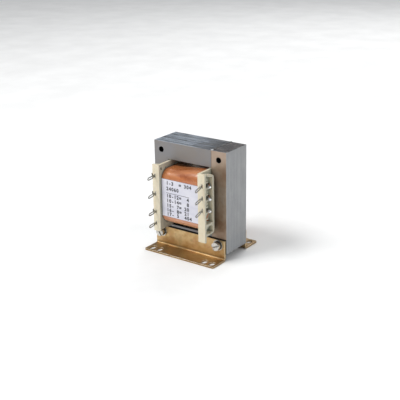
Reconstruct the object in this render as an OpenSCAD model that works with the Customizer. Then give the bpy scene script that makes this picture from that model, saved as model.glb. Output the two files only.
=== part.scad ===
// Laminated chassis transformer: a welded EI core clamped between two angle feet,
// with a moulded bobbin, a taped coil and two tag strips on the front.
// X runs along the coil's axis, the tags point to -Y and +Z is up. The origin is the
// middle of the overall footprint, on the plane that the feet stand on.

/* [Core] */
// Width of an outer leg; the scrapless plates are 5 legs wide and 6 legs high
leg_w = 14; // [12:0.5:17]
// Thickness of one lamination with its oxide skin
lam_t = 0.51; // [0.35:0.01:0.65]
// Number of laminations in the stack
lam_count = 56; // [46:1:70]
// How far every second lamination sits back at its edges
lam_step = 0.05; // [0.02:0.01:0.1]
// Diameter of the four corner holes
core_hole_d = 4.8; // [4.4:0.1:5.5]
// Width of the weld seam over each end of the joint
weld_w = 2.4; // [1.5:0.1:3.5]
// Height of the weld seam
weld_h = 0.5; // [0.3:0.1:0.9]

/* [Bobbin] */
// Running clearance between the bobbin and the core
bobbin_clear = 0.15; // [0.1:0.05:0.3]
// Wall of the square tube round the centre leg
tube_wall = 1.2; // [0.8:0.1:1.6]
// Thickness of the two flanges
flange_t = 2; // [1.2:0.1:2.5]
// How far the flanges stand out behind the core
flange_rear = 14.5; // [14:0.5:17]
// Radius of the flanges' rear corners
flange_corner = 4; // [1:0.5:6]

/* [Tag strips] */
// Width of a tag strip, measured from the flange's inner face
strip_w = 6.6; // [6.6:0.1:9.5]
// How far the strips stand out in front of the core
strip_front = 15.4; // [15:0.1:19]
// Gap between the core's face and the back of a strip
strip_stand = 2.75; // [1:0.05:3.5]
// How far the strips hang below the flanges
strip_hang = 1.5; // [0:0.1:2.5]
// How far the strips' tops lie below the flanges' tops
strip_step = 0.8; // [0:0.1:2]
// Depth of the wiring channel in a strip's outer side
channel_depth = 4; // [3:0.25:4.5]
// Wall between the channel and the strip's front
front_wall = 1.8; // [1.2:0.1:2.4]
// Rim behind the channel
rear_rim = 2.2; // [0.8:0.1:2.6]
// Walls above and below the channel
end_wall = 2; // [1.2:0.1:3]
// Tag places on each strip
place_count = 10; // [8:1:11]
// Distance from a flange's top to the first tag place, and from the last to its bottom
place_inset = 5.35; // [4.5:0.05:6]
// Width of the notch that lets a lead out over a strip's top
notch_w = 1.8; // [1:0.1:3]
// Thickness of the guide ribs between the tag places
rib_t = 0.9; // [0.6:0.1:1.2]
// How far the guide ribs reach back from the front wall
rib_reach = 2.6; // [1:0.2:4]
// Height and width of the lead slits in the channel floor
slit_size = [2.4, 1.2]; // [0.6:0.1:3]

/* [Solder tags] */
// Thickness of the tag metal
tag_t = 0.5; // [0.3:0.05:0.8]
// Height of a tag where it passes through the front wall
tag_root_h = 3.4; // [2.6:0.1:3.8]
// Height of a tag's neck
tag_neck_h = 1.9; // [1.4:0.1:2.2]
// Height of a tag's eye
tag_eye_h = 3.2; // [2.6:0.1:3.8]
// Length of a tag's eye
tag_eye_l = 5.6; // [4.5:0.1:7]
// Width of the opening in the eye
tag_hole_w = 1.5; // [1:0.1:1.8]
// Length of a tag in front of the strip
tag_reach = 9.2; // [7:0.2:11]
// Length of a tag's tail behind the front wall
tag_tail = 4.6; // [3:0.2:6]
// Distance from a strip's outer face to the middle of a tag
tag_inset = 2.4; // [1.8:0.1:3]
// Diameter of the leads between coil and tags
lead_d = 0.5; // [0.3:0.05:0.9]
// Diameter of the solder joint on a tag's tail
solder_d = 2.8; // [2:0.1:3]
// How far the solder joint hangs below the middle of its tag
solder_low = 0.4; // [0:0.1:0.5]

/* [Coil] */
// Gap between the finished coil and the outer legs
coil_gap = 5.25; // [1.5:0.05:6.5]
// Extra build of the coil in front of and behind the core
coil_bulge = 3.9; // [0:0.1:5]
// Corner radius of the finished coil
coil_corner = 8; // [5:0.5:10]
// Build of the inner winding
inner_build = 3.8; // [3:0.1:5]
// Build of the insulation between the windings
barrier_build = 0.5; // [0.2:0.1:1]
// Build of the outer tape
tape_build = 0.6; // [0.3:0.1:1]
// Gap left between one layer of the coil and the next
layer_gap = 0.04; // [0.02:0.01:0.08]
// Gap between the coil's ends and the flanges
side_gap = 0.1; // [0.05:0.05:0.3]
// Height of the label on the front of the coil
label_h = 31.5; // [20:0.5:34]
// Thickness of the label
label_t = 0.15; // [0.08:0.01:0.3]
// Margin between the label and the flanges
label_margin = 0.35; // [0.2:0.05:3]

/* [Feet] */
// Sheet thickness of the angle feet
foot_t = 1.5; // [1:0.1:2]
// Length of the feet along X
foot_w = 68.6; // [60:0.1:90]
// How far a foot reaches out from the core
foot_reach = 18; // [17:0.5:24]
// Drop from the core's underside to the floor
foot_drop = 6; // [2:0.1:8]
// Height of the upright flange above the core's underside
foot_rise = 11.6; // [11.6:0.1:14]
// Inside radius of the bend
bend_r = 1.4; // [0.6:0.1:2]
// Corner radius in the flat sheet
sheet_corner = 1.2; // [0.5:0.1:2]
// Width of the fixing slots
slot_w = 4.8; // [4:0.1:5.5]
// Length of the fixing slots
slot_l = 7; // [6:0.25:10]
// Distance from a foot's end to the middle of the outer slot
slot_end = 4.6; // [4:0.1:6]
// Distance between the outer and the inner slot
slot_pitch = 7.2; // [7:0.1:12]
// Distance from a foot's free edge to the middle of the slots
slot_edge = 5.2; // [5:0.1:7]

/* [Clamp screws] */
// Thread diameter
thread_d = 4; // [3:0.5:4]
// Diameter of the clamp holes in the feet
clamp_hole_d = 4.5; // [4.2:0.1:4.8]
// Diameter of the slotted head
head_d = 7; // [6:0.1:8]
// Height of the slotted head
head_h = 2.6; // [2:0.1:3]
// Width of the driver slot
driver_w = 1.2; // [0.8:0.1:1.5]
// Depth of the driver slot
driver_h = 1.2; // [0.8:0.1:1.5]
// Directions of the driver slots, left and right
driver_turn = [-55, 25]; // [-90:5:90]
// Outside diameter of the flat washers
washer_d = 9; // [8:0.1:10]
// Thickness of the flat washers
washer_t = 0.8; // [0.5:0.1:1.2]
// Outside diameter of the spring washers
spring_d = 7.4; // [6.8:0.1:8]
// Thickness of the spring washers
spring_t = 1.1; // [0.8:0.1:1.4]
// Width across the flats of the nuts
nut_af = 7; // [6.5:0.1:8]
// Height of the nuts
nut_h = 3.2; // [2.4:0.1:4]
// Length of thread that shows past the nuts
thread_end = 2; // [0:0.25:4]

/* [Hidden] */
$fn = 48;

core_steel = [0.42, 0.43, 0.46];
ivory = [0.87, 0.84, 0.74];
copper = [0.72, 0.38, 0.2];
zinc_yellow = [0.76, 0.6, 0.36];
zinc = [0.72, 0.73, 0.74];

// Core
core_w = 5 * leg_w;
core_h = 6 * leg_w;
stack = lam_t * lam_count;
window_w = 3 * leg_w;
window_h = 4 * leg_w;
joint_x = core_w / 2 - leg_w;
hole_x = core_w / 2 - leg_w / 2;
hole_z = core_h / 2 - leg_w / 2;

// Bobbin: the flanges fill the windows, the strips hang on them in front
tube_h = 2 * (leg_w + bobbin_clear + tube_wall);
tube_d = stack + 2 * (bobbin_clear + tube_wall);
tube_corner = 1;
flange_x = window_w / 2 - bobbin_clear - flange_t;
flange_h = window_h - 2 * bobbin_clear;
strip_x = flange_x + strip_w;
strip_y = -stack / 2 - strip_front;
strip_back_y = -stack / 2 - strip_stand;
strip_top = flange_h / 2 - strip_step;
strip_bottom = -flange_h / 2 - strip_hang;
channel_y = strip_y + front_wall;
channel_w = strip_front - strip_stand - front_wall - rear_rim;
floor_x = strip_x - channel_depth;
place_pitch = (flange_h - 2 * place_inset) / (place_count - 1);
function place_z(place) = flange_h / 2 - place_inset - (place - 1) * place_pitch;
// The wall that parts the main channel from the lower pocket lies under place 8
split_place = 8;
split_z = place_z(split_place) - place_pitch / 2 - end_wall / 4;
arch_r = 7;
blind_mark = 0.4;

// Places on the strips that carry a tag, and how far each tag is bent down
left_places = [2, 5, 8, 10];
right_places = [2, 4, 6];
left_droop = [4, 2, 0, 1];
right_droop = [12, 10, 15];
tag_x = strip_x - tag_inset;
tag_slack = 0.05;
tag_root = 0.3;
function tag_end(droop) =
    tag_root + tag_eye_h / 2 + (tag_reach - tag_root - tag_eye_h / 2) * cos(droop);
solder_y = channel_y + tag_tail - solder_d / 4;
slit_y = strip_back_y - rear_rim - slit_size[1] - 0.8;

// Coil: each layer is a rounded ring, set by its build over the tube
coil_build = leg_w - bobbin_clear - tube_wall - coil_gap;
bulge_rate = (coil_build + coil_bulge) / coil_build;
corner_rate = (coil_corner - tube_corner) / coil_build;
coil_w = 2 * (flange_x - side_gap);
barrier_start = inner_build + layer_gap;
outer_start = barrier_start + barrier_build + layer_gap;
tape_start = coil_build - tape_build;
coil_front_y = -tube_d / 2 - coil_build * bulge_rate;

// Feet and clamp screws
foot_h = foot_drop + foot_rise;
clamp_z = foot_drop + leg_w / 2;
slot_y = foot_reach - slot_edge;
head_seat_y = -stack / 2 - foot_t - washer_t - spring_t;
nut_seat_y = stack / 2 + foot_t + washer_t;

// Place of the core over the floor, with the footprint centred
front_end = stack / 2 + strip_front + max([for (d = concat(left_droop, right_droop)) tag_end(d)]);
rear_end = stack / 2 + foot_reach;
shift_y = (front_end - rear_end) / 2;
core_z = foot_drop + core_h / 2;

module on_core() translate([0, shift_y, core_z]) children();
module on_floor() translate([0, shift_y, 0]) children();

// Turns a flat outline drawn in X and Z into a plate that runs along +Y
module along_y(y, length) translate([0, y, 0]) rotate([90, 0, 0]) mirror([0, 0, 1])
    linear_extrude(length) children();

// Turns a flat outline drawn in Y and Z into a plate that runs along +X
module along_x(x, length) translate([x, 0, 0]) rotate([90, 0, 90])
    linear_extrude(length) children();

module round_rect(width, height, radius) {
    square([width - 2 * radius, height], center = true);
    square([width, height - 2 * radius], center = true);
    for (sx = [-1, 1], sy = [-1, 1])
        translate([sx * (width / 2 - radius), sy * (height / 2 - radius)]) circle(radius);
}

module long_hole(length, width) {
    square([length - width, width], center = true);
    for (s = [-1, 1]) translate([s * (length - width) / 2, 0]) circle(d = width);
}

// One E plate: the back is at -X and the three legs point to +X
module e_outline(inset) {
    leg_end = joint_x;
    difference() {
        translate([-core_w / 2 + inset, -core_h / 2 + inset])
            square([leg_end + core_w / 2 - inset, core_h - 2 * inset]);
        for (s = [-1, 1])
            translate([-window_w / 2 - inset, s * 1.5 * leg_w - leg_w / 2 - inset])
                square([window_w + 2 * inset, leg_w + 2 * inset]);
        for (s = [-1, 1]) translate([-hole_x, s * hole_z]) circle(d = core_hole_d);
    }
}

// One I plate, which closes the windows at +X
module i_outline(inset) difference() {
    translate([joint_x, -core_h / 2 + inset]) square([leg_w - inset, core_h - 2 * inset]);
    for (s = [-1, 1]) translate([hole_x, s * hole_z]) circle(d = core_hole_d);
}

// The plates are bonded face to face; every second one sits back a little at its edges
module e_stack() color(core_steel) on_core()
    for (i = [0 : lam_count - 1])
        along_y(-stack / 2 + i * lam_t, lam_t) e_outline(i % 2 * lam_step);

module i_stack() color(core_steel) on_core()
    for (i = [0 : lam_count - 1])
        along_y(-stack / 2 + i * lam_t, lam_t) i_outline(i % 2 * lam_step);

// A low bead over the joint, from the front of the stack to the back
module weld(side) color([0.3, 0.3, 0.31]) on_core() {
    radius = (weld_w * weld_w / 4 + weld_h * weld_h) / (2 * weld_h);
    along_y(-stack / 2, stack) intersection() {
        translate([joint_x, side * (core_h / 2 + weld_h - radius)]) circle(radius, $fn = 96);
        translate([joint_x - weld_w, side * core_h / 2 - (side < 0 ? weld_h : 0)])
            square([2 * weld_w, weld_h]);
    }
}

// The flange plate at +X, with the opening for the centre leg
module flange_outline() {
    rear_y = stack / 2 + flange_rear;
    difference() {
        union() {
            translate([strip_back_y, -flange_h / 2])
                square([rear_y - flange_corner - strip_back_y, flange_h]);
            translate([strip_back_y, flange_corner - flange_h / 2])
                square([rear_y - strip_back_y, flange_h - 2 * flange_corner]);
            for (s = [-1, 1])
                translate([rear_y - flange_corner, s * (flange_h / 2 - flange_corner)])
                    circle(flange_corner);
        }
        tube_opening();
    }
}

module tube_opening() square([tube_d - 2 * tube_wall, tube_h - 2 * tube_wall], center = true);

module arched_outline(width, height) intersection() {
    square([width, height]);
    translate([width / 2, height - arch_r]) {
        circle(arch_r, $fn = 96);
        translate([-arch_r, -height]) square([2 * arch_r, height]);
    }
}

// The wiring channel, the lower pocket and what passes through the walls of a strip
module strip_cuts(places) {
    deep = channel_depth + 1;
    channel_top = strip_top - end_wall;
    pocket_bottom = strip_bottom + end_wall;
    pocket_h = split_z - end_wall / 2 - pocket_bottom;
    difference() {
        translate([floor_x, channel_y, split_z + end_wall / 2])
            cube([deep, channel_w, channel_top - split_z - end_wall / 2]);
        for (p = [1 : split_place - 1])
            translate([floor_x, channel_y, place_z(p) - place_pitch / 2 - rib_t / 2])
                cube([deep, rib_reach, rib_t]);
    }
    along_x(floor_x, deep) translate([channel_y, pocket_bottom])
        arched_outline(channel_w, pocket_h);
    translate([tag_x - tag_t / 2, channel_y + rib_t, channel_top - 1])
        cube([deep, notch_w, end_wall + 2]);
    for (p = [1 : place_count]) {
        used = len(search(p, places)) > 0;
        cut = used ? front_wall + 1 : blind_mark;
        translate([tag_x - tag_t / 2 - tag_slack, channel_y - front_wall + (used ? -0.5 : 0), place_z(p)])
            translate([0, 0, -tag_root_h / 2 - tag_slack])
                cube([tag_t + 2 * tag_slack, cut, tag_root_h + 2 * tag_slack]);
        translate([flange_x - 1, slit_y, place_z(p) - slit_size[0] / 2])
            cube([strip_w, slit_size[1], slit_size[0]]);
    }
}

// One end of the bobbin: flange and tag strip in one moulding
module bobbin_end(places) difference() {
    union() {
        along_x(flange_x, flange_t) flange_outline();
        translate([flange_x, strip_y, strip_bottom])
            cube([strip_w, strip_back_y - strip_y, strip_top - strip_bottom]);
    }
    strip_cuts(places);
}

module bobbin() color(ivory) on_core() {
    bobbin_end(right_places);
    mirror([1, 0, 0]) bobbin_end(left_places);
    along_x(-flange_x, 2 * flange_x) difference() {
        round_rect(tube_d, tube_h, tube_corner);
        tube_opening();
    }
}

// Outline of the coil at a given build over the tube
module coil_outline(build) round_rect(
    tube_d + 2 * build * bulge_rate,
    tube_h + 2 * build,
    tube_corner + build * corner_rate
);

module coil_layer(start, end) on_core() along_x(-coil_w / 2, coil_w) difference() {
    coil_outline(end);
    coil_outline(start);
}

module inner_winding() color(copper) coil_layer(layer_gap, inner_build);
module winding_barrier() color([0.8, 0.7, 0.4]) coil_layer(barrier_start, barrier_start + barrier_build);
module outer_winding() color(copper) coil_layer(outer_start, tape_start - layer_gap);
module outer_tape() color([0.72, 0.42, 0.24]) coil_layer(tape_start, coil_build);

module coil_label() color([0.9, 0.89, 0.92]) on_core() {
    label_w = 2 * (flange_x - label_margin);
    translate([-label_w / 2, coil_front_y - layer_gap - label_t, -label_h / 2])
        cube([label_w, label_t, label_h]);
}

// Section of an angle foot: its face on the core is at y = 0 and the foot reaches to +Y
module angle_section() {
    outer_r = bend_r + foot_t;
    translate([0, outer_r]) square([foot_t, foot_h - outer_r]);
    translate([outer_r, 0]) square([foot_reach - outer_r, foot_t]);
    intersection() {
        square(outer_r);
        translate([outer_r, outer_r]) difference() {
            circle(outer_r);
            circle(bend_r);
        }
    }
}

module sheet_blank(depth) translate([-foot_w / 2, -depth]) {
    translate([sheet_corner, 0]) square([foot_w - 2 * sheet_corner, 2 * depth]);
    square([foot_w, 2 * depth - sheet_corner]);
    for (s = [0, 1]) translate([sheet_corner + s * (foot_w - 2 * sheet_corner), 2 * depth - sheet_corner])
        circle(sheet_corner);
}

// An angle foot behind the core; the front one is the same piece turned round
module angle_foot() color(zinc_yellow) difference() {
    intersection() {
        along_x(-foot_w / 2, foot_w) angle_section();
        translate([0, 0, -1]) linear_extrude(foot_h + 2) sheet_blank(foot_reach);
        along_y(-1, foot_reach + 2) sheet_blank(foot_h);
    }
    for (s = [-1, 1]) {
        along_y(-1, foot_t + 2) translate([s * hole_x, clamp_z]) circle(d = clamp_hole_d);
        for (inner = [0, 1])
            translate([s * (foot_w / 2 - slot_end - inner * slot_pitch), slot_y, -1])
                rotate(90) linear_extrude(foot_t + 2) long_hole(slot_l, slot_w);
    }
}

module rear_foot() on_floor() translate([0, stack / 2, 0]) angle_foot();
module front_foot() on_floor() rotate(180) translate([0, stack / 2, 0]) angle_foot();

// Fasteners are drawn on the left and the right clamp hole
module at_clamps() on_floor() for (s = [-1, 1]) translate([s * hole_x, 0, clamp_z]) {
    $side = s;
    children();
}

module disc(y, height, outer, inner) along_y(y, height) difference() {
    circle(d = outer);
    circle(d = inner);
}

module clamp_screws() color(zinc) at_clamps() difference() {
    union() {
        along_y(head_seat_y - head_h, head_h) circle(d = head_d);
        along_y(head_seat_y, nut_seat_y + nut_h + thread_end - head_seat_y) circle(d = thread_d);
    }
    rotate([0, -driver_turn[$side < 0 ? 0 : 1], 0])
        translate([-head_d, head_seat_y - head_h - 1, -driver_w / 2])
            cube([2 * head_d, driver_h + 1, driver_w]);
}

// A spring washer is split, with the split turned away from the driver slot
module spring_washers() color([0.3, 0.3, 0.3]) at_clamps() difference() {
    disc(head_seat_y, spring_t, spring_d, thread_d + 0.2);
    rotate([0, 60, 0]) translate([0, head_seat_y - 1, -0.4]) cube([spring_d, spring_t + 2, 0.8]);
}

module front_washers() color(zinc) at_clamps()
    disc(-stack / 2 - foot_t - washer_t, washer_t, washer_d, thread_d + 0.3);

module rear_washers() color(zinc) at_clamps()
    disc(stack / 2 + foot_t, washer_t, washer_d, thread_d + 0.3);

module clamp_nuts() color(zinc) at_clamps() along_y(nut_seat_y, nut_h) difference() {
    circle(d = nut_af / cos(30), $fn = 6);
    circle(d = thread_d + 0.02);
}

// Puts a piece that is drawn for the strip at +X on a place of either strip
module at_place(side, place) on_core() mirror([side < 0 ? 1 : 0, 0, 0])
    translate([0, 0, place_z(place)]) children();

// Outline of a tag, drawn with +X away from the strip and its root on the front wall
module tag_outline(droop) {
    eye_x = tag_reach - tag_root - tag_eye_l / 2;
    translate([-front_wall - tag_tail, -tag_neck_h / 2])
        square([front_wall + tag_tail + tag_root, tag_neck_h]);
    translate([-front_wall, -tag_root_h / 2]) square([front_wall + tag_root, tag_root_h]);
    translate([tag_root, 0]) rotate(-droop) difference() {
        union() {
            circle(d = tag_neck_h);
            translate([0, -tag_neck_h / 2]) square([eye_x, tag_neck_h]);
            translate([eye_x, 0]) long_hole(tag_eye_l, tag_eye_h);
        }
        translate([eye_x, 0]) long_hole(tag_eye_l - tag_eye_h + tag_hole_w, tag_hole_w);
    }
}

module tag(side, place, droop) color(zinc) at_place(side, place)
    translate([tag_x + tag_t / 2, strip_y, 0]) mirror([0, 1, 0]) rotate([90, 0, 90])
        mirror([0, 0, 1]) linear_extrude(tag_t) tag_outline(droop);

// A solder joint holds the lead to the lower half of a tag's tail
module solder(side, place) color([0.8, 0.8, 0.78]) at_place(side, place) difference() {
    translate([tag_x, solder_y, -solder_low]) {
        sphere(d = solder_d);
        translate([0.5, 0.5, -solder_d / 5]) sphere(d = solder_d * 0.7);
    }
    translate([tag_x - tag_t / 2 - tag_slack, channel_y - 1, -tag_neck_h / 2 - tag_slack])
        cube([tag_t + 2 * tag_slack, tag_tail + 1 + tag_slack, tag_neck_h + 2 * tag_slack]);
}

// Points of a lead: out of the coil through its slit, along the channel, up to the joint
function lead_points() = let (
    start = [flange_x - side_gap, slit_y + slit_size[1] / 2, 0],
    turn = [floor_x + 1, start[1], 0],
    finish = [tag_x, solder_y + solder_d / 2 + lead_d / 2, -solder_low]
) [
    start,
    [floor_x, start[1], 0],
    [turn[0], turn[1] - 0.3, 0],
    [(turn[0] + finish[0]) / 2, (turn[1] + finish[1]) / 2, 0.4],
    [finish[0], finish[1] + 0.6, 0.3 - solder_low],
    finish
];

function unit(v) = v / norm(v);
function path_dir(pts, i) = unit(pts[min(i + 1, len(pts) - 1)] - pts[max(i - 1, 0)]);
function ring(pts, i, radius, sides) = let (
    dir = path_dir(pts, i),
    side = unit(cross(dir, [0, 0, 1])),
    up = cross(side, dir)
) [for (k = [0 : sides - 1]) pts[i] + radius * (cos(k * 360 / sides) * side + sin(k * 360 / sides) * up)];

module wire(pts, diameter, sides = 8) {
    last = len(pts) - 1;
    polyhedron(
        [for (i = [0 : last]) each ring(pts, i, diameter / 2, sides)],
        concat(
            [[for (k = [0 : sides - 1]) k]],
            [for (i = [0 : last - 1], k = [0 : sides - 1]) [
                i * sides + k,
                (i + 1) * sides + k,
                (i + 1) * sides + (k + 1) % sides,
                i * sides + (k + 1) % sides
            ]],
            [[for (k = [sides - 1 : -1 : 0]) last * sides + k]]
        )
    );
}

module lead(side, place) color(copper) at_place(side, place) wire(lead_points(), lead_d);

e_stack();
i_stack();
weld(1);  // top_weld
weld(-1);  // bottom_weld
bobbin();
inner_winding();
winding_barrier();
outer_winding();
outer_tape();
coil_label();
front_foot();
rear_foot();
clamp_screws();
spring_washers();
front_washers();
rear_washers();
clamp_nuts();
tag(-1, left_places[0], left_droop[0]);  // left_tag_1
tag(-1, left_places[1], left_droop[1]);  // left_tag_2
tag(-1, left_places[2], left_droop[2]);  // left_tag_3
tag(-1, left_places[3], left_droop[3]);  // left_tag_4
tag(1, right_places[0], right_droop[0]);  // right_tag_1
tag(1, right_places[1], right_droop[1]);  // right_tag_2
tag(1, right_places[2], right_droop[2]);  // right_tag_3
lead(-1, left_places[0]);  // left_lead_1
lead(-1, left_places[1]);  // left_lead_2
lead(-1, left_places[2]);  // left_lead_3
lead(-1, left_places[3]);  // left_lead_4
lead(1, right_places[0]);  // right_lead_1
lead(1, right_places[1]);  // right_lead_2
lead(1, right_places[2]);  // right_lead_3
solder(-1, left_places[0]);  // left_solder_1
solder(-1, left_places[1]);  // left_solder_2
solder(-1, left_places[2]);  // left_solder_3
solder(-1, left_places[3]);  // left_solder_4
solder(1, right_places[0]);  // right_solder_1
solder(1, right_places[1]);  // right_solder_2
solder(1, right_places[2]);  // right_solder_3
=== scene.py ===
# Finishes and fine detail of a laminated chassis transformer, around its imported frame
import math
import bpy
import bmesh
from mathutils import Matrix, Vector, noise


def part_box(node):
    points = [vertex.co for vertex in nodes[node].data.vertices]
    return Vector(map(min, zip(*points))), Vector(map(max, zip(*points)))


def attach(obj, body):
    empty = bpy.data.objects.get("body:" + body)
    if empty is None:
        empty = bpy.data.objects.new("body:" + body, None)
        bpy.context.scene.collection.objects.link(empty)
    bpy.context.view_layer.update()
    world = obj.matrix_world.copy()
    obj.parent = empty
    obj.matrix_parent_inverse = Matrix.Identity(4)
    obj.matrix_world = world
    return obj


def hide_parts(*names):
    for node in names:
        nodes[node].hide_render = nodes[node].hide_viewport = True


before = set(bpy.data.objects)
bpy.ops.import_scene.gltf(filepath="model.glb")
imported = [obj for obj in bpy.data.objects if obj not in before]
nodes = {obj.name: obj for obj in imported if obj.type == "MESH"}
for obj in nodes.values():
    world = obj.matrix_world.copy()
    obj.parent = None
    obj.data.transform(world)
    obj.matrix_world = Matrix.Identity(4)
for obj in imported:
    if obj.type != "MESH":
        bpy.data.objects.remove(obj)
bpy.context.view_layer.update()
mm = 0.001
print("frame:", len(nodes), "CAD nodes")

coreLow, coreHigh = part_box("e_stack")
coreMiddle = (coreLow + coreHigh) / 2


# small helpers, used by everything below

def tone(hexColour):
    # sRGB hex to the linear colour that shaders work in
    parts = [int(hexColour[i:i + 2], 16) / 255 for i in (1, 3, 5)]
    return [c / 12.92 if c <= 0.04045 else ((c + 0.055) / 1.055) ** 2.4 for c in parts] + [1]


def add(tree, kind, inputs=None, out=0, **settings):
    # one node with its settings; its inputs are numbers, colours or links; gives back one output
    node = tree.nodes.new(kind)
    for name, value in settings.items():
        setattr(node, name, value)
    for socket, value in (inputs or {}).items():
        if isinstance(value, bpy.types.NodeSocket):
            tree.links.new(value, node.inputs[socket])
        else:
            node.inputs[socket].default_value = value
    return node.outputs if out is None else node.outputs[out]


def startMaterial(name):
    # a material with an empty tree, and its object coordinates
    material = bpy.data.materials.new(name)
    material.use_nodes = True
    tree = material.node_tree
    tree.nodes.clear()
    return material, tree, add(tree, "ShaderNodeTexCoord", out="Object")


def endMaterial(tree, inputs, height=None, depth=0.02, strength=0.5, normal=None):
    # bump over the given normal, then the shader and the output
    if height is not None:
        bump = {"Height": height, "Distance": depth * mm, "Strength": strength}
        if normal is not None:
            bump["Normal"] = normal
        normal = add(tree, "ShaderNodeBump", bump)
    if normal is not None:
        inputs = {**inputs, "Normal": normal}
    shader = add(tree, "ShaderNodeBsdfPrincipled", inputs)
    add(tree, "ShaderNodeOutputMaterial", {"Surface": shader}, out=None)


def patches(tree, coords, size, squeeze=(1, 1, 1), low=0.35, high=0.65, least=0.0, most=1.0, detail=3):
    # cloudy patches about size mm across, longer along an axis that is squeezed, from least to most
    place = add(tree, "ShaderNodeMapping", {"Vector": coords, "Scale": squeeze})
    cloud = add(tree, "ShaderNodeTexNoise", {"Vector": place, "Scale": 1 / (size * mm), "Detail": detail,
                                             "Roughness": 0.55})
    return add(tree, "ShaderNodeMapRange", {"Value": cloud, "From Min": low, "From Max": high,
                                            "To Min": least, "To Max": most})


def coats(tree, ground, *layers):
    # lays colours over a ground one after another, each where its mask is
    colour = tone(ground) if isinstance(ground, str) else ground
    for mask, layer in layers:
        layer = tone(layer) if isinstance(layer, str) else layer
        colour = add(tree, "ShaderNodeMix", {0: mask, 6: colour, 7: layer}, out=2, data_type="RGBA")
    return colour


def total(tree, *parts):
    # the weighted sum of several patterns
    result = 0.0
    for value, weight in parts:
        result = add(tree, "ShaderNodeMath", {0: value, 1: weight, 2: result}, operation="MULTIPLY_ADD")
    return result


def facing(tree):
    # how squarely the surface faces along X, Y and Z, each from 0 to 1
    normal = add(tree, "ShaderNodeNewGeometry", out="Normal")
    size = add(tree, "ShaderNodeVectorMath", {0: normal}, operation="ABSOLUTE")
    return add(tree, "ShaderNodeSeparateXYZ", {0: size}, out=None)


def softEdges(tree, radius, most=1.0):
    # a normal that rounds the edges, and a mask of the line along them: worn on most parts, a painted shadow
    # on the label
    rounded = add(tree, "ShaderNodeBevel", {"Radius": radius * mm}, samples=6)
    plain = add(tree, "ShaderNodeNewGeometry", out="Normal")
    square = add(tree, "ShaderNodeVectorMath", {0: rounded, 1: plain}, out="Value", operation="DOT_PRODUCT")
    return rounded, add(tree, "ShaderNodeMapRange", {"Value": square, "From Min": 0.995, "From Max": 0.8,
                                                     "To Max": most})


def plainMesh(thing):
    # the evaluated mesh of an object that isn't needed afterwards
    bpy.context.scene.collection.objects.link(thing)
    bpy.context.view_layer.update()
    mesh = bpy.data.meshes.new_from_object(thing.evaluated_get(bpy.context.evaluated_depsgraph_get()))
    thing.modifiers.clear()
    bpy.data.objects.remove(thing)
    return mesh


def writeShape(shape, mesh, smoothAll=False):
    # writes a built-up shape into its mesh
    shape.to_mesh(mesh)
    shape.free()
    if smoothAll:
        mesh.polygons.foreach_set("use_smooth", [True] * len(mesh.polygons))


def hollows(tree, reach, start, end, most):
    # a mask of the corners and slots that little light gets into
    openness = add(tree, "ShaderNodeAmbientOcclusion", {"Distance": reach * mm}, out="AO", samples=8)
    return add(tree, "ShaderNodeMapRange", {"Value": openness, "From Min": start, "From Max": end,
                                            "To Max": most})


def band(tree, value, start, end, most=1.0):
    # a mask that rises from nothing at start to most at end, both in millimetres
    return add(tree, "ShaderNodeMapRange", {"Value": value, "From Min": start * mm, "From Max": end * mm,
                                            "To Max": most}, interpolation_type="SMOOTHSTEP")


# camera, light and floor

view = {"azimuth": 36.056, "elevation": 19.47, "roll": -0.859, "distance": 682.3, "lens": 75.5,
        "shift": (-0.0008, -0.0208), "aim": (0, 14, 42)}  # aim: from the core's lower front edge


def setCamera():
    azimuth, elevation, roll = (math.radians(view[k]) for k in ("azimuth", "elevation", "roll"))
    back = Vector((math.sin(azimuth) * math.cos(elevation),
                   -math.cos(azimuth) * math.cos(elevation), math.sin(elevation)))
    level = Vector((0, 0, 1)).cross(back).normalized()
    upright = back.cross(level)
    right = level * math.cos(roll) + upright * math.sin(roll)
    up = upright * math.cos(roll) - level * math.sin(roll)
    data = bpy.data.cameras.new("camera")
    data.lens = view["lens"]
    data.shift_x, data.shift_y = view["shift"]
    data.clip_start, data.clip_end = 0.01, 20
    camera = bpy.data.objects.new("camera", data)
    aim = Vector((0, coreLow.y, coreLow.z)) + Vector(view["aim"]) * mm
    place = aim + back * view["distance"] * mm
    camera.matrix_world = Matrix.Translation(place) @ Matrix((right, up, back)).transposed().to_4x4()
    bpy.context.scene.collection.objects.link(camera)
    bpy.context.scene.camera = camera


studio = {"sky": "#E9EBEE", "skyStrength": 0.5, "floor": "#F8F8F7", "floorShade": "#F1F1F0",
          "lamps": [("keyLamp", (-0.6, -0.85, 1.35), 0.8, 20), ("sideLamp", (1.3, 0.1, 0.5), 0.9, 6),
                    ("backLamp", (-0.2, 1.2, 1.0), 0.9, 7)]}


def setStudio():
    world = bpy.data.worlds.new("studio")
    world.use_nodes = True
    back = world.node_tree.nodes["Background"]
    back.inputs[0].default_value = tone(studio["sky"])
    back.inputs[1].default_value = studio["skyStrength"]
    bpy.context.scene.world = world
    bpy.context.scene.view_settings.view_transform = "Standard"
    for name, place, size, power in studio["lamps"]:
        lamp = bpy.data.lights.new(name, "AREA")
        lamp.shape = "DISK"
        lamp.size = size
        lamp.energy = power
        holder = bpy.data.objects.new(name, lamp)
        holder.location = place
        holder.rotation_euler = (Vector(place) - Vector((0, 0, 0.045))).to_track_quat("Z", "Y").to_euler()
        bpy.context.scene.collection.objects.link(holder)


def setFloor():
    # matt painted board, with a faint unevenness
    material, tree, coords = startMaterial("mattStudioBoard")
    pale = patches(tree, coords, 60)
    colour = coats(tree, studio["floor"], (pale, studio["floorShade"]))
    endMaterial(tree, {"Base Color": colour, "Roughness": 0.9})
    bpy.ops.mesh.primitive_grid_add(size=8, x_subdivisions=4, y_subdivisions=4)
    floor = bpy.context.object
    floor.name = "floor"
    floor.data.materials.append(material)


setCamera()
setStudio()
setFloor()
print("camera, light and floor")
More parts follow.
